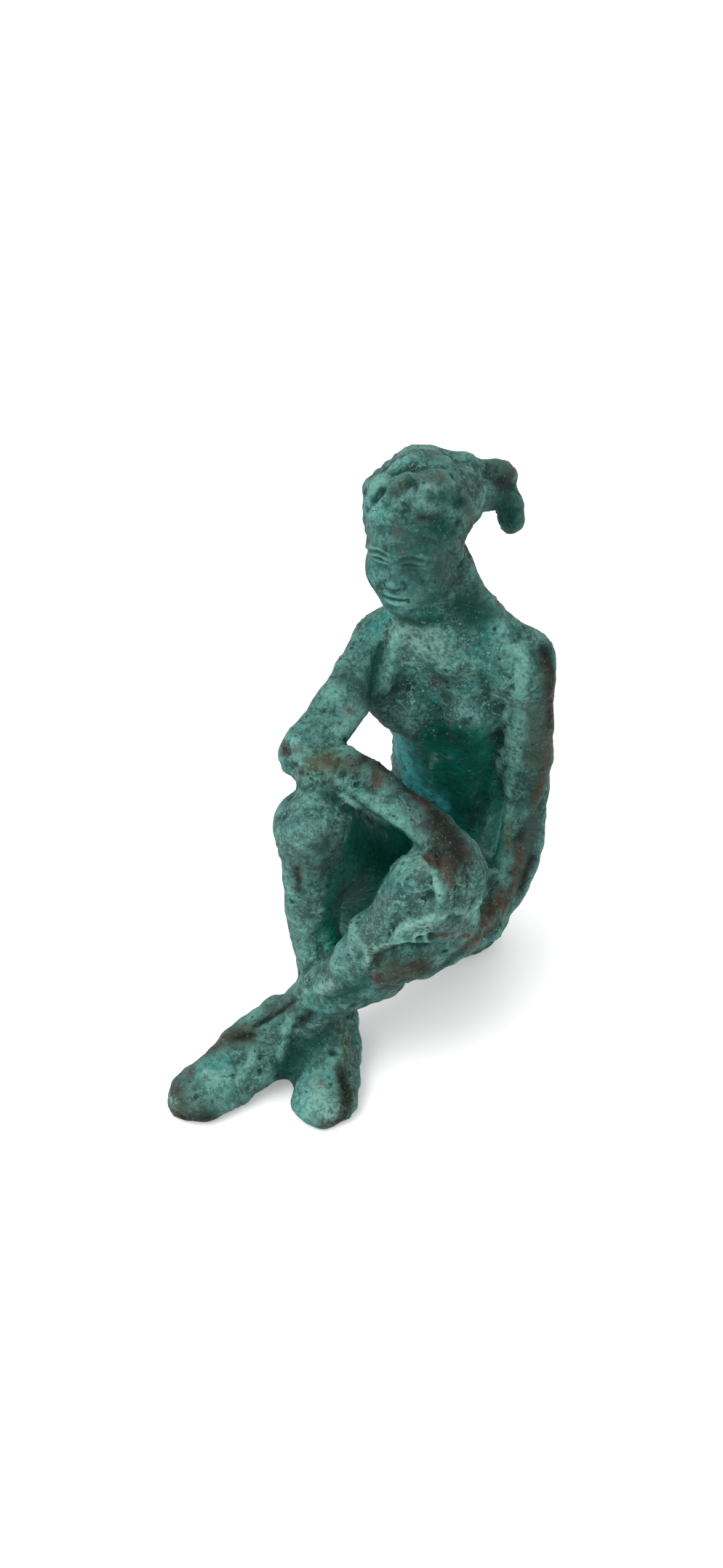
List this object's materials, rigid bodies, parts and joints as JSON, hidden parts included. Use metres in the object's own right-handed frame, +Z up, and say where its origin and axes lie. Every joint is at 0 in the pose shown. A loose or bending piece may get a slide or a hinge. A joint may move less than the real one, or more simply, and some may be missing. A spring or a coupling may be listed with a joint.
{
  "type": "seated figure sculpture",
  "caption": "Small bronze of a seated woman with a ponytail, knees drawn up and ankles crossed, arms resting on her knees, with a blue-green patina.",
  "frame": {"origin": "middle of the bounding box's footprint, on the surface that the seat and the soles rest on", "axes": "+Z up, -Y towards the viewer in front of her, +X to the viewer's right"},
  "size_m": [0.0744, 0.0746, 0.1229],
  "materials": {
    "bronze": "rough-cast bronze with a matt blue-green verdigris patina, dark green in the hollows and rubbed copper brown on the ridges"
  },
  "bodies": {
    "root": {"seated_woman": "bronze"}
  },
  "joints": []
}
